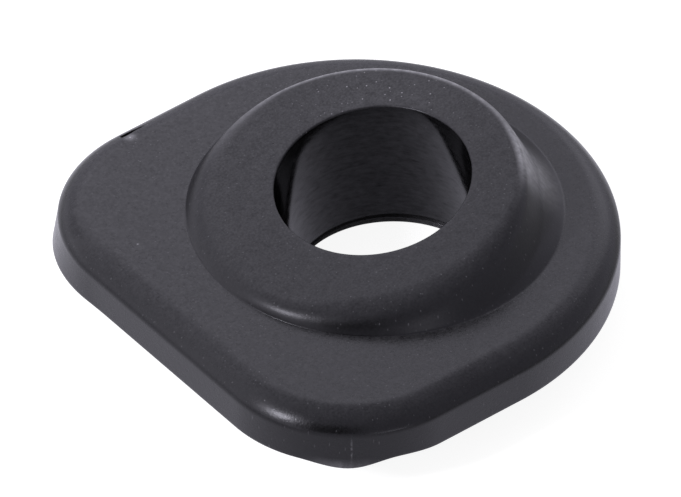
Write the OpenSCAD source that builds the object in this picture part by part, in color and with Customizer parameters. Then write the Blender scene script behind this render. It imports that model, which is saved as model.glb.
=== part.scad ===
// Wedge grommet: one moulded piece of black rubber.
// A flat flange with one round end and one squared end carries a low round collar.
// The collar's face leans towards the squared end, and a plain bore runs square to that face.
// Under the flange a short round spigot drops into the hole in the panel.
// +X points to the squared end, and Z = 0 is the spigot's lower face.

/* [Flange] */
// Width of the flange, which is also the width of its round end
flange_w = 42.5; // [40:0.1:52]
// Length of the flange, from the round end to the squared end
flange_l = 41.1; // [39:0.1:52]
// Thickness of the flange
flange_t = 4.5; // [3.6:0.1:6]
// Radius of the two corners at the squared end, seen from above
corner_r = 11.6; // [6:0.1:16]
// Radius of the crown that falls from the flange's flat top to its side wall
crown_r = 2.8; // [1:0.1:3.2]

/* [Collar] */
// Lean of the bore and of the collar's face from level, in degrees
lean = 10; // [2:0.5:12]
// Height of the collar's face above the flange, measured at the bore's axis
collar_h = 3.4; // [3.4:0.1:6]
// Radius of the collar's foot, at the lowest point of its fillet
foot_r = 15.4; // [14.8:0.1:17]
// How far the foot's centre sits from the round end's centre, along X
foot_x = -1.8; // [-2.5:0.1:-1]
// Radius of the hollow fillet at the foot
fillet_r = 0.8; // [0.4:0.1:1.4]
// Radius of the flat part of the collar's face
face_r = 12.4; // [11.8:0.1:13]
// How far the face's centre sits from the bore's axis, towards the squared end
face_shift = 1.5; // [1.2:0.1:2]
// Radius of the rounded rim around the face
rim_r = 1.2; // [0.6:0.1:1.6]

/* [Bore] */
// Diameter of the bore
bore_d = 16; // [10:0.1:19]
// Radius of the softened edge at the bore's upper mouth
mouth_r = 0.3; // [0.1:0.05:0.5]
// How far the bore's axis sits from the round end's centre at the face, along X
bore_x = -1.65; // [-3:0.05:0]

/* [Spigot] */
// Diameter of the spigot
spigot_d = 24; // [23.4:0.1:30]
// Height of the spigot, from its lower face to the flange
spigot_h = 4; // [2:0.1:8]
// Chamfer around the spigot's lower edge
lead_in = 0.6; // [0.2:0.1:1.2]

/* [Hidden] */
$fn = 96;

// Sine and cosine of the wall's draft from upright, 32.5 degrees: a 336-527-625 triangle
draft_sin = 0.5376;
draft_cos = 0.8432;
// Sine of the crown's turn, 61.9 degrees: an 8-15-17 triangle
crown_sin = 0.8824;
// Sine and cosine of the turn of the rim's arc, 53.1 degrees: a 3-4-5 triangle
turn_sin = 0.8;
turn_cos = 0.6;
// The fillet's lowest point is sunk this far into the flange, so the foot ends in a clear line
sink = 0.03;
// The wall is drawn this far along its slope, higher than any face that the sizes allow
wall_l = 11;
// The skirt around the face is drawn this far along its slope, past the flange's top
skirt_l = 12;
// Cutting bodies run this far past the faces that they cut
past = 5;

// Flange plan: the round end's centre and the corner centres
round_r = flange_w / 2;
round_x = round_r - flange_l / 2;
end_x = flange_l / 2;
corner_x = end_x - corner_r;
corner_y = round_r - corner_r;

// Levels
flange_z = spigot_h;
top_z = flange_z + flange_t;
face_z = top_z + collar_h;

// Where the bore's axis crosses the face and the flange's underside
face_x = round_x + bore_x;
axis_under_x = face_x - (face_z - flange_z) * tan(lean);

bore_r = bore_d / 2;
bore_l = (face_z + past) / cos(lean);

// Outline of the flange's edge: a level underside, an upright wall, and a crown that meets it at a corner.
// The two translates stay apart, so that the middle and the corners share the same short numbers.
module edge_section(reach) {
    intersection() {
        square([reach, flange_t]);
        union() {
            square([reach, flange_t - crown_r]);
            translate([reach, 0])
                translate([-crown_r * crown_sin, 0]) {
                    mirror([1, 0, 0]) square([reach, flange_t]);
                    translate([0, flange_t - crown_r]) circle(crown_r);
                }
        }
    }
}

// The edge section turned through part of a circle
module edge_turn(reach, start, sweep) {
    rotate([0, 0, start]) rotate_extrude(angle = sweep) edge_section(reach);
}

// The straight middle of the flange, with a crowned edge along both sides
module flange_middle() {
    for (side = [0, 1])
        translate([round_x, 0, 0])
            mirror([0, side, 0])
                rotate([90, 0, 90])
                    linear_extrude(corner_x - round_x) edge_section(round_r);
}

// The squared end between the two corners
module flange_end() {
    translate([corner_x, corner_y, 0])
        rotate([90, 0, 0])
            linear_extrude(2 * corner_y) edge_section(corner_r);
}

module flange() {
    translate([0, 0, flange_z]) {
        translate([round_x, 0, 0]) edge_turn(round_r, 90, 180);
        flange_middle();
        flange_end();
        translate([corner_x, corner_y, 0]) edge_turn(corner_r, 0, 90);
        translate([corner_x, -corner_y, 0]) edge_turn(corner_r, -90, 90);
    }
}

// Anything coaxial with the bore is drawn upright and then leant over about the face's centre
module on_bore_axis() {
    translate([face_x, 0, face_z]) rotate([0, lean, 0]) children();
}

// The collar's wall is turned upright on the flange: a hollow fillet, then a drafted wall
module collar_wall() {
    fillet_in = fillet_r * draft_cos;
    fillet_mid = fillet_r - sink;
    fillet_up = fillet_mid - fillet_r * draft_sin;
    wall_in = fillet_in + wall_l * draft_sin;
    wall_up = fillet_up + wall_l * draft_cos;
    translate([round_x + foot_x, 0, top_z])
        rotate_extrude() {
            translate([0, -flange_t / 2]) square([foot_r - wall_in, flange_t / 2 + wall_up]);
            translate([foot_r, 0])
                difference() {
                    polygon([
                        [-wall_in - past, -flange_t / 2],
                        [0, -flange_t / 2],
                        [0, fillet_mid],
                        [-fillet_in, fillet_up],
                        [-wall_in, wall_up],
                        [-wall_in - past, wall_up],
                    ]);
                    translate([0, fillet_mid]) circle(fillet_r);
                }
        }
}

// The collar's face is square to the bore: its rounded rim runs out into a skirt that caps the wall
module collar_cap() {
    rim_in = rim_r * turn_sin;
    rim_down = rim_r * (1 - turn_cos);
    skirt_in = rim_in + skirt_l * turn_cos;
    skirt_down = rim_down + skirt_l * turn_sin;
    on_bore_axis()
        translate([face_shift, 0, 0])
            rotate_extrude() {
                translate([0, -skirt_down]) square([face_r, skirt_down]);
                translate([face_r, 0]) {
                    polygon([[0, -rim_down], [0, -skirt_down], [skirt_in, -skirt_down], [rim_in, -rim_down]]);
                    intersection() {
                        translate([0, -rim_r]) circle(rim_r);
                        translate([0, -rim_down]) square([rim_r, rim_down]);
                    }
                }
            }
}

module collar() {
    intersection() {
        collar_wall();
        collar_cap();
    }
}

module spigot() {
    translate([axis_under_x, 0, 0]) {
        cylinder(h = lead_in, r1 = spigot_d / 2 - lead_in, r2 = spigot_d / 2);
        translate([0, 0, lead_in]) cylinder(h = spigot_h + flange_t / 2 - lead_in, r = spigot_d / 2);
    }
}

// What the bore removes: the straight hole and the softened edge at its upper mouth
module bore() {
    on_bore_axis() {
        translate([0, 0, -bore_l]) cylinder(h = bore_l + past, r = bore_r);
        rotate_extrude()
            difference() {
                translate([0, -mouth_r]) square([bore_r + mouth_r, mouth_r + past]);
                translate([bore_r + mouth_r, -mouth_r]) circle(mouth_r);
            }
    }
}

module grommet() {
    color([0.27, 0.27, 0.29])
        difference() {
            union() {
                flange();
                collar();
                spigot();
            }
            bore();
        }
}

grommet();
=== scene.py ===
"""Black rubber wedge grommet: one moulded piece on a white studio floor.

The flange is round at the back and squared at the front, the collar's face leans towards the
squared end, and a short spigot stands under the flange. +X points to the squared end, and the
spigot's lower face stands on the floor at Z = 0. Lengths are in metres.
"""

import math

import bpy
from mathutils import Matrix, Vector


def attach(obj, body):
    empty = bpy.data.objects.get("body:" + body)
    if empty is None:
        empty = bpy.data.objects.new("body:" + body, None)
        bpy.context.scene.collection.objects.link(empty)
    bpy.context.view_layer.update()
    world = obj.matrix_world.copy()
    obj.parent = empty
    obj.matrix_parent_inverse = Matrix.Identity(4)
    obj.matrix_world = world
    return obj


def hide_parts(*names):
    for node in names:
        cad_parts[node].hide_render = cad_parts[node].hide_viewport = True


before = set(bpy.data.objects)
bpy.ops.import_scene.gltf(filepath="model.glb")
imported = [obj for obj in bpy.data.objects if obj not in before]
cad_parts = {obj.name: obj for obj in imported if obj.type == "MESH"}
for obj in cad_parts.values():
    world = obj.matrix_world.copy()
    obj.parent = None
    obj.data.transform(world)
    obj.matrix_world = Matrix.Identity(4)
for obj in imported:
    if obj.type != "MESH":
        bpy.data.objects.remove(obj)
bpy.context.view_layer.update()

MM = 0.001
BODY = "root"
NODE = "grommet"
FINISHES = ("Moulded skin", "Polished shaded bore")
# The studio is a little cooler than white in the rubber's gloss, and its lamps are too
COOL_WHITE = (0.96, 0.94, 1.1)
COOL_LAMP = (0.985, 0.975, 1.05)

# ---------------------------------------------------------------------------
# Sizes
# ---------------------------------------------------------------------------

# The mould's own sizes, which become the inputs of the grommet's node tree
SIZES = {
    "Flange half width": 21.25 * MM,
    "Flange end": 19.85 * MM,
    "Corner radius": 11.6 * MM,
    "Corner along": 8.25 * MM,
    "Corner across": 9.65 * MM,
    "Round end centre": 0.70 * MM,
    "Flange underside": 4.0 * MM,
    "Flange top": 8.5 * MM,
    "Crown radius": 2.76 * MM,
    "Crease softness": 0.22 * MM,
    "Lower edge radius": 0.12 * MM,
    "Bore radius": 8.0 * MM,
    "Bore mouth radius": 0.16 * MM,
    "Face centre": -0.95 * MM,
    "Face height": 11.9 * MM,
    "Rim centre shift": 1.5 * MM,
    "Rim radius": 13.45 * MM,
    "Rim softness at the back": 0.62 * MM,
    "Rim softness in front": 1.9 * MM,
    "Foot centre": -1.2 * MM,
    "Foot radius": 15.3 * MM,
    "Spigot centre": -2.343 * MM,
    "Spigot radius": 12.0 * MM,
    "Spigot lead-in": 0.6 * MM,
}
LEAN = math.radians(10)
# The crown turns this far from level before it meets the side wall
CROWN_TURN = math.radians(62.4)

# The section is drawn as a row of bands, from the bore's lower edge round to it again
BANDS = (
    ("mouth flash", 4),
    ("bore wall", 14),
    ("bore mouth", 5),
    ("collar face", 18),
    ("rim", 14),
    ("collar wall", 8),
    ("cove", 12),
    ("flange top", 34),
    ("crown", 22),
    ("crease", 6),
    ("side wall", 12),
    ("lower edge", 4),
    ("underside", 10),
    ("spigot wall", 6),
    ("lead-in", 2),
    ("lower face", 4),
)
RINGS = sum(count for _, count in BANDS)
SPOKES = 520
# The spokes crowd together at the nick, in the flange's edge
CROWD_AT = math.radians(-69.5)
CROWD = 0.5
# The rings of the bore's wall crowd towards the flash, which keeps their corner sharp
WALL_CROWD = 2.2
# The rings of the flange's top close up towards its edge
TOP_CROWD = 1.7

# Each of these runs round the grommet: the direction of its middle and how far it reaches to each side, in degrees,
# and then how much of it there is at the middle.
# The lower wall leans out at the corner between the squared end and the -Y side
CORNER_LEAN = (-44, 24, 0.42 * MM)
# The collar's rim is crisp at its high back and soft elsewhere. Past 1 it holds steady, so that the change is short
CRISP_RIM = (-160, 125, 1.8)
# The rim draws in where the face comes down closest to the flange
LOW_RIM = (-18, 42, 0.8 * MM)
# Flash stands in from the bore's lower mouth
MOUTH_FLASH = (-130, 118, 0.84 * MM)
# Flash hangs from the lower edge under the corner between the squared end and the +Y side. Beside it the edge is short
HUNG_FLASH = (50.0, 9.5, 0.46 * MM)
SHORT_EDGE = (60.0, 9.0, 0.26 * MM)
# The mould's parting leaves a hair of a ridge down that corner
PARTING_RIDGE = (50.9, 0.45, 0.022 * MM)
# Painted highlights on the rim's high back and on one stretch of the wall below it, and a paler patch on the hanging
# flash
RIM_PAINTED_HIGHLIGHT = (-145, 95, 1.0)
WALL_PAINTED_HIGHLIGHT = (154, 20, 1.5)
PALE_HUNG_FLASH = (49.0, 8.0, 0.3)
# Painted light: the flash in the bore's mouth is painted paler all round, which lifts it out of the bore's shade
MOUTH_FLASH_PAINTED_LIGHT = 0.3

# Shares of the mouth flash's width: how far the bore's wall leans in to meet it, and how thick it is there
FLASH_ROOT_IN = 0.45
FLASH_ROOT_UP = 0.1

# The nick in the flange's upper edge, on the -Y side: where it starts and ends, and the line that it follows
NICK_START = 6.95 * MM
NICK_END = 9.0 * MM
NICK_LINE = -19.93 * MM
# It is cut by its wide end over this length
NICK_CUT = 0.16 * MM
# Half its width at the narrow end, and how much it widens by, in millimetres
NICK_HAIR = 0.03
NICK_WIDENS = 0.2
# How far its floor goes out and down
NICK_OUT = 0.42 * MM
NICK_DOWN = 0.62 * MM
# Its lip: how high it stands, how far past the nick's side, and how far it spreads
NICK_LIP = 0.07 * MM
NICK_LIP_PAST = 0.1 * MM
NICK_LIP_REACH = 0.2 * MM
# Only points about this level are moved by it, up to this far above and below
NICK_LEVEL = 7.6 * MM
NICK_REACH = 1.4 * MM

# Share of the wall's run that its hollow foot takes, and of its height that the hollow reaches: at the back, in front
COVE_RUN = (0.27, 0.06)
COVE_HEIGHT = (0.4, 0.09)
# Largest share of the wall that the rim's softness may take: at the back, in front
RIM_SHARE = (0.55, 0.86)
# Rise of the hollow's end above a level run-out, which leaves the crease around the foot: at the back, in front
FOOT_CREASE = (0.1, 0.0)

# The camera's direction from the grommet
AZIMUTH = math.radians(51.82)
ELEVATION = math.radians(41.36)


# ---------------------------------------------------------------------------
# Writing node trees as formulas
# ---------------------------------------------------------------------------


class Term:
    """A number or a point in a node tree. Sums and products of terms add the nodes for them."""

    def __init__(self, socket):
        self.socket = socket
        self.tree = socket.id_data
        self.is_point = socket.type == "VECTOR"

    def node(self, kind, operation, values, output=0):
        made = self.tree.nodes.new(kind)
        made.operation = operation
        for value, slot in values:
            if isinstance(value, Term):
                self.tree.links.new(value.socket, made.inputs[slot])
            else:
                made.inputs[slot].default_value = value
        return Term(made.outputs[output])

    def number(self, operation, *others):
        return self.node("ShaderNodeMath", operation, [(v, i) for i, v in enumerate((self, *others))])

    def point(self, operation, *others):
        return self.node("ShaderNodeVectorMath", operation, [(v, i) for i, v in enumerate((self, *others))])

    def scaled(self, factor):
        return self.node("ShaderNodeVectorMath", "SCALE", [(self, 0), (factor, 3)])

    def __add__(self, other):
        return self.point("ADD", other) if self.is_point else self.number("ADD", other)

    __radd__ = __add__

    def __sub__(self, other):
        return self.point("SUBTRACT", other) if self.is_point else self.number("SUBTRACT", other)

    def __rsub__(self, other):
        return (self * -1.0) + other

    def __mul__(self, other):
        if self.is_point:
            return self.scaled(other)
        if isinstance(other, Term) and other.is_point:
            return other.scaled(self)
        return self.number("MULTIPLY", other)

    __rmul__ = __mul__

    def __truediv__(self, other):
        return self.number("DIVIDE", other)

    def length(self):
        return self.node("ShaderNodeVectorMath", "LENGTH", [(self, 0)], output=1)

    def unit(self):
        return self.point("NORMALIZE")

    def sine(self):
        return self.number("SINE")

    def cosine(self):
        return self.number("COSINE")

    def root(self):
        return self.number("SQRT")

    def size(self):
        return self.number("ABSOLUTE")

    def least(self, other):
        return self.number("MINIMUM", other)

    def most(self, other):
        return self.number("MAXIMUM", other)

    def power(self, exponent):
        return self.number("POWER", exponent)

    def share(self):
        """Held between 0 and 1."""
        return self.most(0.0).least(1.0)

    def below(self, other):
        """1 where this is less than the other, and 0 elsewhere."""
        return self.number("LESS_THAN", other)

    def eased(self):
        """Held between 0 and 1, with a soft start and a soft stop."""
        t = self.share()
        return t * t * (t * -2.0 + 3.0)


def choose(test, yes, no):
    return test * (yes - no) + no


def bump(term, centre, reach):
    """1 at the centre, falling smoothly to 0 at the reach on each side."""
    return (((term - centre).size() / reach) * -1.0 + 1.0).eased()


def around(spoke, centre, reach):
    """The same bump by direction: the centre and the reach are in degrees, and it wraps past half a turn."""
    apart = (spoke - math.radians(centre)).cosine().number("ARCCOSINE")
    return bump(apart, 0.0, math.radians(reach))


def patch(spoke, centre, reach, most):
    """A bump by direction that comes to this much at its centre."""
    return around(spoke, centre, reach) * most


def place(x, y, z, tree):
    made = tree.nodes.new("ShaderNodeCombineXYZ")
    for slot, value in zip(made.inputs, (x, y, z)):
        if isinstance(value, Term):
            tree.links.new(value.socket, slot)
        else:
            slot.default_value = value
    return Term(made.outputs[0])


def upwards(height, tree):
    return place(0.0, 0.0, height, tree)


def parts_of(point, tree):
    split = tree.nodes.new("ShaderNodeSeparateXYZ")
    tree.links.new(point.socket, split.inputs[0])
    return [Term(out) for out in split.outputs]


def at_level(point, tree, level):
    """The same point moved to a level."""
    x, y, _ = parts_of(point, tree)
    return place(x, y, level, tree)


# ---------------------------------------------------------------------------
# The grommet's form
# ---------------------------------------------------------------------------


def flange_outline(spoke, inset, size, tree):
    """Where a spoke from the round end's centre meets the flange's plan, set in by some amount."""
    along = spoke.cosine()
    across = spoke.sine().size().most(1e-5)
    round_r = size["Flange half width"] - inset
    side = round_r / across
    end = (size["Flange end"] - inset) / along.most(1e-5)
    # The corner is an arc about its own centre
    corner_x, corner_y = size["Corner along"], size["Corner across"]
    corner_r = size["Corner radius"] - inset
    towards = along * corner_x + across * corner_y
    inside = towards * towards - corner_x * corner_x - corner_y * corner_y + corner_r * corner_r
    corner = towards + inside.most(0.0).root()
    reach = choose((end * across).below(corner_y), end, corner)
    reach = choose((side * along).below(corner_x), side, reach)
    reach = choose(along.below(0.0), round_r, reach)
    return place(reach * along + size["Round end centre"], reach * spoke.sine(), 0.0, tree)


def circle(spoke, centre_x, radius, z, tree):
    return place(spoke.cosine() * radius + centre_x, spoke.sine() * radius, z, tree)


def bend(start, corner, end, t):
    """Movement along a curve that leaves the start towards the corner, and arrives from it at the end."""
    return (corner - start) * (t * 2.0 * (1.0 - t)) + (end - start) * (t * t)


def grommet_points(tree, size, spoke, ring):
    """The place of each point of the section: the tip of the bore's flash, plus how far each band carries it."""
    start = 0
    t = {}
    for name, count in BANDS:
        t[name] = ((ring - float(start)) / float(count)).share()
        start += count

    lean_sin, lean_cos = math.sin(LEAN), math.cos(LEAN)
    axis = (lean_sin, 0.0, lean_cos)
    quarter = math.pi / 2
    top = size["Flange top"]
    under = size["Flange underside"]
    crown = size["Crown radius"]
    crown_in = crown * math.sin(CROWN_TURN)
    crown_down = crown * (1.0 - math.cos(CROWN_TURN))
    soft_crease = size["Crease softness"]
    low_edge = size["Lower edge radius"]
    mouth = size["Bore mouth radius"]

    # Circles in the leaning face: their centres and spokes lie in the face's own plane
    face_centre = place(size["Face centre"], 0.0, size["Face height"], tree)
    face_along = place(lean_cos, 0.0, -lean_sin, tree)
    leaning = place(spoke.cosine() * lean_cos, spoke.sine(), spoke.cosine() * -lean_sin, tree)
    bore_axis = place(*axis, tree)
    rim_centre = face_centre + face_along * size["Rim centre shift"]

    bore_top = face_centre + leaning * size["Bore radius"] - bore_axis * mouth
    bore_low = bore_top - bore_axis * (parts_of(bore_top, tree)[2] / lean_cos)
    flash_width = patch(spoke, *MOUTH_FLASH)
    level_spoke = at_level(leaning, tree, level=0.0)
    flash_tip = bore_low - level_spoke * flash_width
    flash_root = bore_low - level_spoke * (flash_width * FLASH_ROOT_IN) + bore_axis * (flash_width * FLASH_ROOT_UP)
    mouth_edge = face_centre + leaning * (size["Bore radius"] + mouth)

    corner = rim_centre + leaning * (size["Rim radius"] - patch(spoke, *LOW_RIM))
    foot = circle(spoke, size["Foot centre"], size["Foot radius"], top, tree)
    # The hollow's corner sits inside the foot, and the wall runs from the rim straight to it
    crisp = patch(spoke, *CRISP_RIM).share()
    hollow_in = foot + (at_level(corner, tree, level=top) - foot) * choose(crisp, *COVE_RUN)
    down = hollow_in - corner
    fall = down.length()
    soft = choose(crisp, size["Rim softness at the back"], size["Rim softness in front"])
    soft = soft.least(fall * choose(crisp, *RIM_SHARE))
    rim_start = corner - leaning * soft
    rim_end = corner + down.unit() * soft
    hollow_start = corner + down * (1.0 - choose(crisp, *COVE_HEIGHT))
    hollow_corner = hollow_in + upwards(fall * choose(crisp, *FOOT_CREASE), tree)

    inner = flange_outline(spoke, crown_in, size, tree) + upwards(top, tree)
    outer = flange_outline(spoke, 0.0, size, tree) + upwards(top, tree)
    outward = outer - inner
    # The crown stops short of the crease, which is rounded over by a little on both sides
    crown_turn = (soft_crease / crown) * -1.0 + CROWN_TURN
    crown_end = inner + outward * (crown * crown_turn.sine() / crown_in)
    crown_end = crown_end + upwards(crown * (crown_turn.cosine() - 1.0), tree)
    crease = outer - upwards(crown_down, tree)
    wall_head = crease - upwards(soft_crease, tree)
    lean_out = outward.unit() * patch(spoke, *CORNER_LEAN)
    wall_low = outer + lean_out + upwards(under + low_edge - top, tree)
    low_share = low_edge / crown_in
    wall_foot = outer + lean_out - outward * low_share + upwards(under - top, tree)
    spigot_top = circle(spoke, size["Spigot centre"], size["Spigot radius"], under, tree)
    lead = size["Spigot lead-in"]
    spigot_low = circle(spoke, size["Spigot centre"], size["Spigot radius"] - lead, 0.0, tree)

    turn = t["bore mouth"] * quarter
    point = flash_tip
    point = point + (flash_root - flash_tip) * t["mouth flash"]
    point = point + (bore_top - flash_root) * t["bore wall"].power(WALL_CROWD)
    point = point + leaning * (mouth * (1.0 - turn.cosine())) + bore_axis * (mouth * turn.sine())
    point = point + (rim_start - mouth_edge) * t["collar face"]
    point = point + bend(rim_start, corner, rim_end, t["rim"])
    point = point + (hollow_start - rim_end) * t["collar wall"]
    point = point + bend(hollow_start, hollow_corner, foot, t["cove"])
    point = point + (inner - foot) * (1.0 - (1.0 - t["flange top"]).power(TOP_CROWD))
    turn = t["crown"] * crown_turn
    point = point + outward * (crown * turn.sine() / crown_in) + upwards(crown * (turn.cosine() - 1.0), tree)
    point = point + bend(crown_end, crease, wall_head, t["crease"])
    point = point + (wall_low - wall_head) * t["side wall"]
    turn = t["lower edge"] * quarter
    point = point - outward * (low_share * (1.0 - turn.cosine())) - upwards(low_edge * turn.sine(), tree)
    point = point + (spigot_top - wall_foot) * t["underside"]
    point = point - upwards((under - lead) * t["spigot wall"], tree)
    spigot_neck = spigot_top - upwards(under - lead, tree)
    point = point + (spigot_low - spigot_neck) * t["lead-in"]
    point = point + (flash_tip - spigot_low) * t["lower face"]
    return point, t


def nicked(point, tree):
    """The nick opens along the upper edge, wide at one end and closing to a hair at the other."""
    x, y, z = parts_of(point, tree)
    along = ((x - NICK_START) / (NICK_END - NICK_START)).share()
    past = ((x - NICK_END) / NICK_CUT).share()
    upper = ((z - NICK_LEVEL).size() / NICK_REACH).below(1.0)
    here = (1.0 - past) * (1.0 - x.below(NICK_START)) * upper
    gape = (along.power(0.8) * NICK_WIDENS + NICK_HAIR) * MM
    line = y - NICK_LINE
    cut = (1.0 - line.size() / gape).share() * along.power(0.35) * here
    lip = bump(line - gape, NICK_LIP_PAST, NICK_LIP_REACH) * along.power(0.5) * here
    return point + place(0.0, cut * -NICK_OUT, cut * -NICK_DOWN, tree) + upwards(lip * NICK_LIP, tree)


def moulding_marks(point, spoke, t, tree):
    """The small faults of this piece: a nick in the edge, flash under one corner, and a ridge at the parting."""
    point = nicked(point, tree)
    above_spigot = 1.0 - t["spigot wall"]
    hung = t["side wall"].power(3.0) * (1.0 - t["underside"] * 5.0).share() * above_spigot
    drop = patch(spoke, *SHORT_EDGE) - patch(spoke, *HUNG_FLASH)
    point = point + upwards(drop * hung, tree)
    on_wall = (t["side wall"] * 6.0).share() * (1.0 - t["lower edge"])
    facing_out = math.radians(48)
    outward = place(math.cos(facing_out), math.sin(facing_out), 0.0, tree)
    return point + outward * (patch(spoke, *PARTING_RIDGE) * on_wall)


def highlight_and_pale_amount(spoke, t):
    """How pale each point is painted, from 0 to 1: painted highlights on the rim and the wall, painted light on the
    mouth's flash, and a paler hanging flash.
    """
    on_rim = (t["rim"] * (1.0 - t["rim"]) * 4.0).power(3.0)
    on_wall = t["rim"] * (1.0 - t["collar wall"] * 0.45) * (1.0 - t["cove"])
    on_mouth_flash = (1.0 - t["mouth flash"]).power(0.3)
    on_hung_flash = ((t["side wall"] - 0.78) / 0.2).share() * (1.0 - t["underside"] * 5.0).share()
    highlight_and_pale_paint = on_rim * patch(spoke, *RIM_PAINTED_HIGHLIGHT) + on_wall * patch(spoke, *WALL_PAINTED_HIGHLIGHT)
    highlight_and_pale_paint = highlight_and_pale_paint + on_mouth_flash * MOUTH_FLASH_PAINTED_LIGHT + on_hung_flash * patch(spoke, *PALE_HUNG_FLASH)
    return highlight_and_pale_paint.share()


def kept_with(geometry, name, value, tree):
    """Keeps a value on every point of the geometry, under this name."""
    made = tree.nodes.new("GeometryNodeStoreNamedAttribute")
    made.data_type = "FLOAT"
    made.domain = "POINT"
    made.inputs["Name"].default_value = name
    tree.links.new(geometry, made.inputs["Geometry"])
    tree.links.new(value.socket, made.inputs["Value"])
    return made.outputs["Geometry"]


def grommet_tree():
    """Builds the Geometry Nodes tree that moulds the grommet from the sizes given to it."""
    tree = bpy.data.node_groups.new("Wedge grommet", "GeometryNodeTree")
    identifiers = {}
    for name, value in SIZES.items():
        made = tree.interface.new_socket(name=name, in_out="INPUT", socket_type="NodeSocketFloat")
        made.subtype = "DISTANCE"
        made.default_value = value
        identifiers[name] = made.identifier
    for name in FINISHES:
        made = tree.interface.new_socket(name=name, in_out="INPUT", socket_type="NodeSocketMaterial")
        identifiers[name] = made.identifier
    tree.interface.new_socket(name="Geometry", in_out="OUTPUT", socket_type="NodeSocketGeometry")
    tree.is_modifier = True

    given = tree.nodes.new("NodeGroupInput")
    size = {name: Term(given.outputs[name]) for name in SIZES}

    grid = tree.nodes.new("GeometryNodeMeshGrid")
    grid.inputs["Size X"].default_value = 1.0
    grid.inputs["Size Y"].default_value = 1.0
    grid.inputs["Vertices X"].default_value = SPOKES + 1
    grid.inputs["Vertices Y"].default_value = RINGS + 1

    index = Term(tree.nodes.new("GeometryNodeInputIndex").outputs[0])
    turn_share = (index / float(RINGS + 1)).number("FLOOR")
    ring = index - turn_share * float(RINGS + 1)
    even = turn_share * (2 * math.pi / SPOKES) - math.pi
    spoke = even + (even - (CROWD_AT - math.pi)).sine() * CROWD

    point, t = grommet_points(tree, size, spoke, ring)
    point = moulding_marks(point, spoke, t, tree)

    mould = tree.nodes.new("GeometryNodeSetPosition")
    tree.links.new(grid.outputs["Mesh"], mould.inputs["Geometry"])
    tree.links.new(point.socket, mould.inputs["Position"])

    formed = kept_with(mould.outputs["Geometry"], "bore", t["mouth flash"] * (1.0 - t["bore mouth"]), tree)
    formed = kept_with(formed, "highlight_and_pale_paint", highlight_and_pale_amount(spoke, t), tree)

    weld = tree.nodes.new("GeometryNodeMergeByDistance")
    weld.inputs["Distance"].default_value = 1e-6
    tree.links.new(formed, weld.inputs["Geometry"])

    # The rows run so that the faces come out pointing inwards
    outwards = tree.nodes.new("GeometryNodeFlipFaces")
    tree.links.new(weld.outputs["Geometry"], outwards.inputs["Mesh"])

    smooth = tree.nodes.new("GeometryNodeSetShadeSmooth")
    tree.links.new(outwards.outputs["Mesh"], smooth.inputs["Geometry"])

    whole = tree.nodes.new("GeometryNodeRealizeInstances")
    tree.links.new(smooth.outputs["Geometry"], whole.inputs["Geometry"])
    finish = tree.nodes.new("GeometryNodeSetMaterial")
    tree.links.new(whole.outputs["Geometry"], finish.inputs["Geometry"])
    tree.links.new(given.outputs["Moulded skin"], finish.inputs["Material"])

    # The bore's own wall is smoother than the skin, and its material is a darker copy of the rubber, painted in shade
    read = tree.nodes.new("GeometryNodeInputNamedAttribute")
    read.data_type = "FLOAT"
    read.inputs["Name"].default_value = "bore"
    polished = tree.nodes.new("GeometryNodeSetMaterial")
    tree.links.new(finish.outputs["Geometry"], polished.inputs["Geometry"])
    tree.links.new(Term(read.outputs["Attribute"]).number("GREATER_THAN", 0.95).socket, polished.inputs["Selection"])
    tree.links.new(given.outputs["Polished shaded bore"], polished.inputs["Material"])
    forget = tree.nodes.new("GeometryNodeRemoveAttribute")
    forget.inputs["Name"].default_value = "bore"
    tree.links.new(polished.outputs["Geometry"], forget.inputs["Geometry"])
    out = tree.nodes.new("NodeGroupOutput")
    tree.links.new(forget.outputs["Geometry"], out.inputs["Geometry"])
    return tree, identifiers


def mould_grommet(finishes):
    """Runs the tree and returns the grommet as a plain mesh object. The finishes are its materials, by name."""
    tree, identifiers = grommet_tree()
    blank = bpy.data.meshes.new("Grommet blank")
    holder = bpy.data.objects.new("Grommet mould", blank)
    bpy.context.scene.collection.objects.link(holder)
    modifier = holder.modifiers.new("Mould", "NODES")
    modifier.node_group = tree
    for name, value in SIZES.items():
        modifier[identifiers[name]] = value
    for name, material in finishes.items():
        modifier[identifiers[name]] = material
    ready = holder.evaluated_get(bpy.context.evaluated_depsgraph_get())
    mesh = bpy.data.meshes.new_from_object(ready)
    mesh.name = "Rubber grommet"
    # The blank's empty material slot comes first, and goes
    mesh.materials.pop(index=0)
    bpy.data.objects.remove(holder)
    bpy.data.node_groups.remove(tree)
    piece = bpy.data.objects.new("Rubber_grommet", mesh)
    bpy.context.scene.collection.objects.link(piece)
    return piece


# ---------------------------------------------------------------------------
# Rubber
# ---------------------------------------------------------------------------

# Shares of light that the clean skin, the painted top light, the painted highlights and pale marks, the bore's wall
# and the dust scatter back
SKIN_TONE = 0.003
TOP_LIGHT_TONE = 0.018
HIGHLIGHT_AND_PALE_TONE = 0.24
BORE_TONE = 0.0025
DUST_TONE = 0.34
RUBBER_TINT = (1.02, 1.0, 1.09)
# The gloss is held well below a plain plastic's, and the bore's further than the skin's
SKIN_GLOSS_TINT = 0.4
SKIN_GLOSS_LEVEL = 0.5
GLOSS_HUE = (1.01, 1.0, 1.05)
# The bore's weaker gloss is painted shade for the inside of the bore
BORE_SHADED_GLOSS_TINT = 0.14
BORE_SHADED_GLOSS_LEVEL = 0.39
# How slanted the view is, from 0 straight on to 1 edge on, where the gloss starts to fall and where it stops,
# and how much of it is gone by then
SKIN_SLANT_LOSS = (0.4, 1.0, 0.8)
BORE_SLANT_LOSS = (0.5, 0.75, 0.98)
SKIN_ROUGHNESS = 0.27
BORE_ROUGHNESS = 0.13
# The collar is a little duller than the flange
COLLAR_DULLER = 0.07
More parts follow.
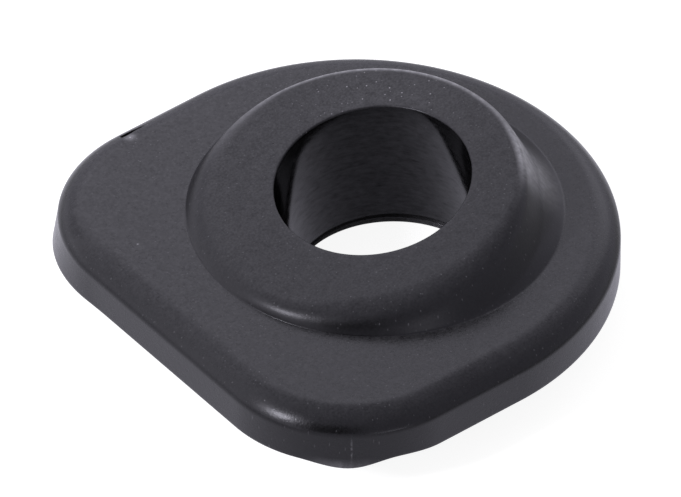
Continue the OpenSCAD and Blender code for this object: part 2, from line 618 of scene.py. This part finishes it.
# How far each pattern moves the rubber's tone
MOTTLE_DEPTH = 1.1
CLOUD_DEPTH = 0.4
GRAIN_DEPTH = 2.6
STREAK_DEPTH = 0.3
# Height of the moulded grain
GRAIN_HEIGHT = 0.008 * MM

# Places on the rubber, in millimetres, each with how far it reaches.
# The back of the collar's face, where the most dust has settled
DUSTIEST = (-7.5, -7.0, 13.0)
DUSTIEST_REACH = 9.0
SETTLED_BLOOM = 0.006
# Painted top light: a paler tone is painted on what faces up, and it drops off this steeply as the rubber turns aside
TOP_LIGHT_STEEPNESS = 6.0
# Its amount at the -Y side, how much less there is at the +Y side, how wide the change is, and how far it is skewed: a
# painted falloff of light across the tops
TOP_LIGHT_MOST = 1.3
TOP_LIGHT_THINS = 0.7
TOP_LIGHT_RUN = 36.0
TOP_LIGHT_SKEW = 0.15
# The pale end of the nick
PALE_NICK = (8.7, -19.3, 8.3)
PALE_NICK_REACH = 0.8
# Pale crumbs stand along the mould's parting, down the squared end's +Y corner, about this level
PARTING_X, PARTING_Y, PARTING_LEVEL = 16.02, 18.85, 5.6
PARTING_WIDTH, PARTING_REACH = 0.13, 1.7
# Painted light: the bore's wall is painted paler in the corner above the lower mouth's flash, up to this level, which
# lifts a dark line there
PAINTED_LIGHT_CORNER_TOP = 0.8
PAINTED_LIGHT_CORNER_TONE = 0.05


def in_millimetres(tree, turn=0.0, stretch=(1.0, 1.0, 1.0)):
    """The piece's own coordinates in millimetres, turned about Z. A pattern grows long along an axis under 1."""
    own = tree.nodes.new("ShaderNodeTexCoord")
    mapping = tree.nodes.new("ShaderNodeMapping")
    mapping.vector_type = "TEXTURE"
    mapping.inputs["Rotation"].default_value = (0.0, 0.0, turn)
    mapping.inputs["Scale"].default_value = tuple(MM / factor for factor in stretch)
    tree.links.new(own.outputs["Object"], mapping.inputs["Vector"])
    return Term(mapping.outputs["Vector"])


def noise(tree, at, per_mm, detail=2.0, roughness=0.5):
    """Soft noise between 0 and 1, with about this many swells to the millimetre."""
    made = tree.nodes.new("ShaderNodeTexNoise")
    made.inputs["Scale"].default_value = per_mm
    made.inputs["Detail"].default_value = detail
    made.inputs["Roughness"].default_value = roughness
    tree.links.new(at.socket, made.inputs["Vector"])
    return Term(made.outputs["Fac"])


def specks(tree, at, per_mm, radius, share):
    """Round specks: up to this many to the millimetre, this large in millimetres, in this share of the cells."""
    cells = tree.nodes.new("ShaderNodeTexVoronoi")
    cells.inputs["Scale"].default_value = per_mm
    tree.links.new(at.socket, cells.inputs["Vector"])
    luck = parts_of(Term(cells.outputs["Color"]), tree)
    present = ((luck[0] - (1.0 - share)) / share).share()
    reach = (present.root() * (radius * per_mm)).most(1e-4)
    return (1.0 - Term(cells.outputs["Distance"]) / reach).share() * present.root()


def rubber_tone(tree, at, depth):
    """Cloudy and mottled change of tone around 1."""
    grain = noise(tree, at, 5.0, detail=3.0, roughness=0.6)
    mottle = noise(tree, at, 1.3, detail=3.0, roughness=0.6)
    cloud = noise(tree, at, 0.16, detail=2.0)
    tone = (grain - 0.5) * GRAIN_DEPTH + (mottle - 0.5) * MOTTLE_DEPTH + (cloud - 0.5) * CLOUD_DEPTH
    return tone * depth + 1.0, grain, mottle, cloud


def tinted(tree, shade, tint, socket):
    """Sends a grey shade to a colour socket with a slight tint."""
    colour = tree.nodes.new("ShaderNodeCombineColor")
    for slot, part in zip(colour.inputs, tint):
        tree.links.new((shade * part).socket, slot)
    tree.links.new(colour.outputs["Color"], socket)


def emptied(owner):
    """The node tree of a new material or world, with nothing in it."""
    owner.use_nodes = True
    owner.node_tree.nodes.clear()
    return owner.node_tree


def rubber_shader(name, gloss_tint):
    material = bpy.data.materials.new(name)
    tree = emptied(material)
    out = tree.nodes.new("ShaderNodeOutputMaterial")
    shader = tree.nodes.new("ShaderNodeBsdfPrincipled")
    shader.inputs["Specular Tint"].default_value = tuple(part * gloss_tint for part in GLOSS_HUE) + (1.0,)
    tree.links.new(shader.outputs["BSDF"], out.inputs["Surface"])
    return material, tree, shader


def less_at_a_slant(tree, start, end, loss):
    """Turns the gloss down at a slant: 1 up to the start, and short by the loss at the end."""
    slant = tree.nodes.new("ShaderNodeLayerWeight")
    slant.inputs["Blend"].default_value = 0.5
    past = ((Term(slant.outputs["Facing"]) - start) / (end - start)).share()
    return 1.0 - past * loss


def raise_grain(tree, shader, height, most):
    relief = tree.nodes.new("ShaderNodeBump")
    relief.inputs["Distance"].default_value = most
    tree.links.new(height.socket, relief.inputs["Height"])
    tree.links.new(relief.outputs["Normal"], shader.inputs["Normal"])


def top_light_dust_and_pits(tree, at):
    """A painted top light on what faces up, thinning towards +Y, with the bloom and the specks of dust that lie most
    at the back of the collar's face, and the pits.
    """
    x, y, _ = parts_of(at, tree)
    settled = bump((at - place(*DUSTIEST, tree)).length(), 0.0, DUSTIEST_REACH)
    surface = tree.nodes.new("ShaderNodeNewGeometry")
    upward = parts_of(Term(surface.outputs["Normal"]), tree)[2].most(0.0)
    top_light_falloff = ((x * TOP_LIGHT_SKEW + y) / TOP_LIGHT_RUN + 0.5).share()
    top_light_and_bloom = upward.power(TOP_LIGHT_STEEPNESS) * (TOP_LIGHT_MOST - top_light_falloff * TOP_LIGHT_THINS) * TOP_LIGHT_TONE
    top_light_and_bloom = top_light_and_bloom + settled * SETTLED_BLOOM
    # The specks are drawn tall, so that more of them reach the surface
    tall = in_millimetres(tree, stretch=(1.0, 1.0, 0.3))
    fine = specks(tree, tall, 2.6, radius=0.085, share=0.8) * (settled * 3.0 + 0.5)
    loose = specks(tree, tall, 0.55, radius=0.11, share=0.5)
    pits = specks(tree, tall, 0.9, radius=0.1, share=0.5)
    return top_light_and_bloom, (fine * 0.35 + loose).share(), pits


def painted_highlights_and_pale_marks(tree, at):
    """Pale paint where the mesh is marked for it (painted highlights, painted light and a paler hanging flash), a pale
    end of the nick, and pale crumbs along the mould's parting.
    """
    x, y, z = parts_of(at, tree)
    read = tree.nodes.new("ShaderNodeAttribute")
    read.attribute_name = "highlight_and_pale_paint"
    nick = bump((at - place(*PALE_NICK, tree)).length(), 0.0, PALE_NICK_REACH)
    parting = bump(place(x - PARTING_X, y - PARTING_Y, 0.0, tree).length(), 0.0, PARTING_WIDTH)
    crumbs = (noise(tree, at, 3.0) * 5.0 - 2.0).share()
    parting = parting * bump(z, PARTING_LEVEL, PARTING_REACH) * crumbs
    broken = noise(tree, in_millimetres(tree, stretch=(1.0, 1.0, 0.35)), 2.4) * 1.6 + 0.2
    return (Term(read.outputs["Fac"]) + nick * 0.5 + parting * 0.35) * broken


def moulded_skin():
    """Satin black rubber: moulded grain, painted top light, flow streaks, pits, specks of dust, and painted highlights
    and pale marks.
    """
    material, tree, shader = rubber_shader("Moulded rubber skin", SKIN_GLOSS_TINT)
    at = in_millimetres(tree)
    tone, grain, mottle, cloud = rubber_tone(tree, at, 1.0)
    streak = noise(tree, in_millimetres(tree, turn=AZIMUTH, stretch=(1.0, 0.3, 1.0)), 3.2, detail=2.0)
    tone = tone + (streak - 0.5) * STREAK_DEPTH
    # Painted top light: what faces up is painted paler, and it fades towards +Y
    top_light_and_bloom, dust, pits = top_light_dust_and_pits(tree, at)

    # The pits are painted darker, which is painted shade in them
    shade = (tone * (top_light_and_bloom + SKIN_TONE) * (1.0 - pits * 0.7)).most(0.0)
    shade = shade + dust * DUST_TONE + painted_highlights_and_pale_marks(tree, at) * HIGHLIGHT_AND_PALE_TONE
    tinted(tree, shade, RUBBER_TINT, shader.inputs["Base Color"])
    on_collar = ((parts_of(at, tree)[2] - SIZES["Flange top"] / MM) / 0.2).share()
    rough = dust * 0.3 + (mottle - 0.5) * 0.10 + (cloud - 0.5) * 0.08 + on_collar * COLLAR_DULLER + SKIN_ROUGHNESS
    tree.links.new(rough.share().socket, shader.inputs["Roughness"])
    level = less_at_a_slant(tree, *SKIN_SLANT_LOSS) * SKIN_GLOSS_LEVEL
    tree.links.new(level.socket, shader.inputs["Specular IOR Level"])
    raise_grain(tree, shader, grain * 1.2 + mottle * 0.8 + dust * 2.5 - pits * 3.0, GRAIN_HEIGHT)
    return material


def polished_shaded_bore():
    """The same rubber, smoother in the bore with a sharper gloss, and darker with a weaker gloss, which is painted
    shade inside the bore; faint scuffs run around it.
    """
    material, tree, shader = rubber_shader("Polished shaded rubber bore", BORE_SHADED_GLOSS_TINT)
    at = in_millimetres(tree)
    tone, _, mottle, _ = rubber_tone(tree, at, 0.8)
    scuff = noise(tree, in_millimetres(tree, stretch=(0.4, 0.4, 1.2)), 2.6, detail=3.0, roughness=0.65)
    dust = specks(tree, at, 0.7, radius=0.1, share=0.4)
    painted_corner_light = (1.0 - parts_of(at, tree)[2] / PAINTED_LIGHT_CORNER_TOP).share()
    shade = (tone * BORE_TONE + (scuff - 0.5) * 0.005).most(0.0005)
    shade = shade + dust * 0.03 + painted_corner_light * PAINTED_LIGHT_CORNER_TONE
    tinted(tree, shade, RUBBER_TINT, shader.inputs["Base Color"])
    rough = (scuff - 0.5) * 0.16 + (mottle - 0.5) * 0.08 + BORE_ROUGHNESS
    tree.links.new(rough.share().socket, shader.inputs["Roughness"])
    level = (scuff - 0.5) * 0.8 + (mottle - 0.5) * 0.3 + BORE_SHADED_GLOSS_LEVEL
    level = level * less_at_a_slant(tree, *BORE_SLANT_LOSS)
    tree.links.new(level.share().socket, shader.inputs["Specular IOR Level"])
    raise_grain(tree, shader, mottle * 0.5 + scuff, GRAIN_HEIGHT * 0.4)
    return material


# ---------------------------------------------------------------------------
# Studio
# ---------------------------------------------------------------------------

# The camera's lens in millimetres, its distance, and the place that it aims at, with a shift across and up the picture
LENS = 838.0
CAMERA_DISTANCE = 1.275
AIM = Vector((0.70, 0.0, 4.0)) * MM
AIM_ACROSS = -1.269 * MM
AIM_UP = 1.105 * MM
# How bright the world is where the gloss sees it, and where light only scatters
WORLD_IN_GLOSS = 0.95
WORLD_LEVEL = 0.45
# The floor's own colour, and its glow to the camera and in gloss
FLOOR_GREY = 0.34
FLOOR_GLOW = 0.88
# In gloss the glow falls off by this much, to the piece's right and behind it. Each loss runs over this distance,
# and starts this share of it away from the middle
GLOW_LOSS = 0.8
LOSS_RIGHT, LOSS_RIGHT_START = 28 * MM, 0.7
LOSS_BEHIND, LOSS_BEHIND_START = 40 * MM, 0.6
FLOOR_RADIUS = 0.6
# The floor lies a hair below the spigot's face, so that the two never fight for the same place
FLOOR_GAP = 0.02 * MM


def studio_camera():
    towards_x = Vector((math.cos(AZIMUTH), math.sin(AZIMUTH), 0.0))
    back = towards_x * math.cos(ELEVATION) + Vector((0.0, 0.0, math.sin(ELEVATION)))
    right = Vector((-math.sin(AZIMUTH), math.cos(AZIMUTH), 0.0))
    up = back.cross(right)
    aim = AIM + right * AIM_ACROSS + up * AIM_UP
    data = bpy.data.cameras.new("Studio camera")
    data.sensor_width = 36.0
    data.lens = LENS
    data.clip_start = 0.05
    data.clip_end = 50.0
    camera = bpy.data.objects.new("Studio camera", data)
    turned = Matrix((right, up, back)).transposed().to_4x4()
    camera.matrix_world = Matrix.Translation(aim + back * CAMERA_DISTANCE) @ turned
    bpy.context.scene.collection.objects.link(camera)
    bpy.context.scene.camera = camera


def seen_directly(tree):
    """1 for rays from the camera and for mirrored or bent rays, 0 for the rest."""
    path = tree.nodes.new("ShaderNodeLightPath")
    either = Term(path.outputs["Is Camera Ray"]).most(Term(path.outputs["Is Glossy Ray"]))
    return either.most(Term(path.outputs["Is Transmission Ray"]))


def cool_in_gloss(tree, level, socket):
    """White to the camera. Gloss sees it cooler, and at this level."""
    glossy = Term(tree.nodes.new("ShaderNodeLightPath").outputs["Is Glossy Ray"])
    colour = tree.nodes.new("ShaderNodeCombineColor")
    for slot, cool in zip(colour.inputs, COOL_WHITE):
        tree.links.new((glossy * (level * cool - 1.0) + 1.0).socket, slot)
    tree.links.new(colour.outputs["Color"], socket)


def studio_world():
    world = bpy.data.worlds.new("White studio")
    tree = emptied(world)
    out = tree.nodes.new("ShaderNodeOutputWorld")
    sky = tree.nodes.new("ShaderNodeBackground")
    cool_in_gloss(tree, WORLD_IN_GLOSS, sky.inputs["Color"])
    strength = seen_directly(tree) * (1.0 - WORLD_LEVEL) + WORLD_LEVEL
    tree.links.new(strength.socket, sky.inputs["Strength"])
    tree.links.new(sky.outputs[0], out.inputs["Surface"])
    bpy.context.scene.world = world


def studio_floor():
    """A round white floor, which glows a little so that it stays white around the piece's shadow."""
    corners = 96
    turns = [2 * math.pi * i / corners for i in range(corners)]
    ring = [(FLOOR_RADIUS * math.cos(turn), FLOOR_RADIUS * math.sin(turn), -FLOOR_GAP) for turn in turns]
    mesh = bpy.data.meshes.new("Studio floor")
    mesh.from_pydata(ring, [], [tuple(range(corners))])
    floor = bpy.data.objects.new("Studio_floor", mesh)
    bpy.context.scene.collection.objects.link(floor)

    material = bpy.data.materials.new("White floor")
    tree = emptied(material)
    out = tree.nodes.new("ShaderNodeOutputMaterial")
    paint = tree.nodes.new("ShaderNodeBsdfDiffuse")
    paint.inputs["Color"].default_value = (FLOOR_GREY, FLOOR_GREY, FLOOR_GREY, 1.0)
    glow = tree.nodes.new("ShaderNodeEmission")
    tree.links.new((seen_directly(tree) * FLOOR_GLOW).socket, glow.inputs["Strength"])
    # The gloss sees a cooler floor, which falls off behind the piece and to its right
    own = tree.nodes.new("ShaderNodeTexCoord")
    x, y, _ = parts_of(Term(own.outputs["Object"]), tree)
    rightward = y * math.cos(AZIMUTH) - x * math.sin(AZIMUTH)
    behind = (x * math.cos(AZIMUTH) + y * math.sin(AZIMUTH)) * -1.0
    loss = (rightward / LOSS_RIGHT - LOSS_RIGHT_START).share()
    loss = loss.most((behind / LOSS_BEHIND - LOSS_BEHIND_START).share()) * GLOW_LOSS
    cool_in_gloss(tree, 1.0 - loss, glow.inputs["Color"])
    both = tree.nodes.new("ShaderNodeAddShader")
    tree.links.new(paint.outputs[0], both.inputs[0])
    tree.links.new(glow.outputs[0], both.inputs[1])
    tree.links.new(both.outputs[0], out.inputs["Surface"])
    mesh.materials.append(material)


def facing(azimuth, elevation, distance):
    """Place and turn of studio gear that faces the grommet. The azimuth is counted from the camera's, in degrees."""
    a, e = AZIMUTH + math.radians(azimuth), math.radians(elevation)
    away = Vector((math.cos(a) * math.cos(e), math.sin(a) * math.cos(e), math.sin(e)))
    return Matrix.Translation(away * distance) @ away.to_track_quat("Z", "Y").to_matrix().to_4x4()


def softbox(name, azimuth, elevation, width, height, brightness, distance=1.0):
    """A soft lamp whose face is as bright as this, where a brightness of 1 is white."""
    data = bpy.data.lights.new(name, "AREA")
    data.color = COOL_LAMP
    data.shape = "RECTANGLE"
    data.size = width
    data.size_y = height
    data.energy = brightness * math.pi * width * height
    lamp = bpy.data.objects.new(name, data)
    lamp.matrix_world = facing(azimuth, elevation, distance)
    lamp.visible_camera = False
    bpy.context.scene.collection.objects.link(lamp)


def dark_card(azimuth, elevation, width, height, distance):
    """A black card beside the lens. Only the rubber's gloss sees it, so it casts no shade."""
    stand = facing(azimuth, elevation, distance)
    corners = [(-1, -1), (1, -1), (1, 1), (-1, 1)]
    mesh = bpy.data.meshes.new("Dark card")
    mesh.from_pydata(
        [stand @ Vector((i * width / 2, j * height / 2, 0.0)) for i, j in corners], [], [(0, 1, 2, 3)]
    )
    card = bpy.data.objects.new("Dark_card", mesh)
    bpy.context.scene.collection.objects.link(card)
    material = bpy.data.materials.new("Black card")
    tree = emptied(material)
    out = tree.nodes.new("ShaderNodeOutputMaterial")
    felt = tree.nodes.new("ShaderNodeBsdfDiffuse")
    felt.inputs["Color"].default_value = (0.01, 0.01, 0.01, 1.0)
    tree.links.new(felt.outputs[0], out.inputs["Surface"])
    mesh.materials.append(material)
    card.visible_camera = False
    card.visible_diffuse = False
    card.visible_shadow = False
    card.visible_transmission = False


# ---------------------------------------------------------------------------
# The scene
# ---------------------------------------------------------------------------

studio_camera()
studio_world()
studio_floor()
softbox("Left wall of light", azimuth=-90, elevation=35, width=1.1, height=0.9, brightness=1.0)
softbox("Low left strip", azimuth=-110, elevation=10, width=1.2, height=0.3, brightness=0.5)
softbox("Left top softbox", azimuth=-90, elevation=72, width=0.7, height=0.5, brightness=0.4)
softbox("Back softbox", azimuth=-162, elevation=44, width=0.8, height=0.5, brightness=0.85)
softbox("Right softbox", azimuth=150, elevation=30, width=0.5, height=0.6, brightness=0.9)
softbox("Low right lamp", azimuth=28, elevation=7, width=0.3, height=0.18, brightness=4.0)
softbox("Low front lamp", azimuth=-46, elevation=12, width=0.5, height=0.3, brightness=1.6)
softbox("Key lamp", azimuth=-56, elevation=36, width=0.14, height=0.2, brightness=75.0)
dark_card(azimuth=-14, elevation=30, width=0.85, height=0.75, distance=1.4)

grommet = mould_grommet({"Moulded skin": moulded_skin(), "Polished shaded bore": polished_shaded_bore()})
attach(grommet, BODY)
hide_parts(NODE)

bpy.context.scene.view_settings.view_transform = "Standard"
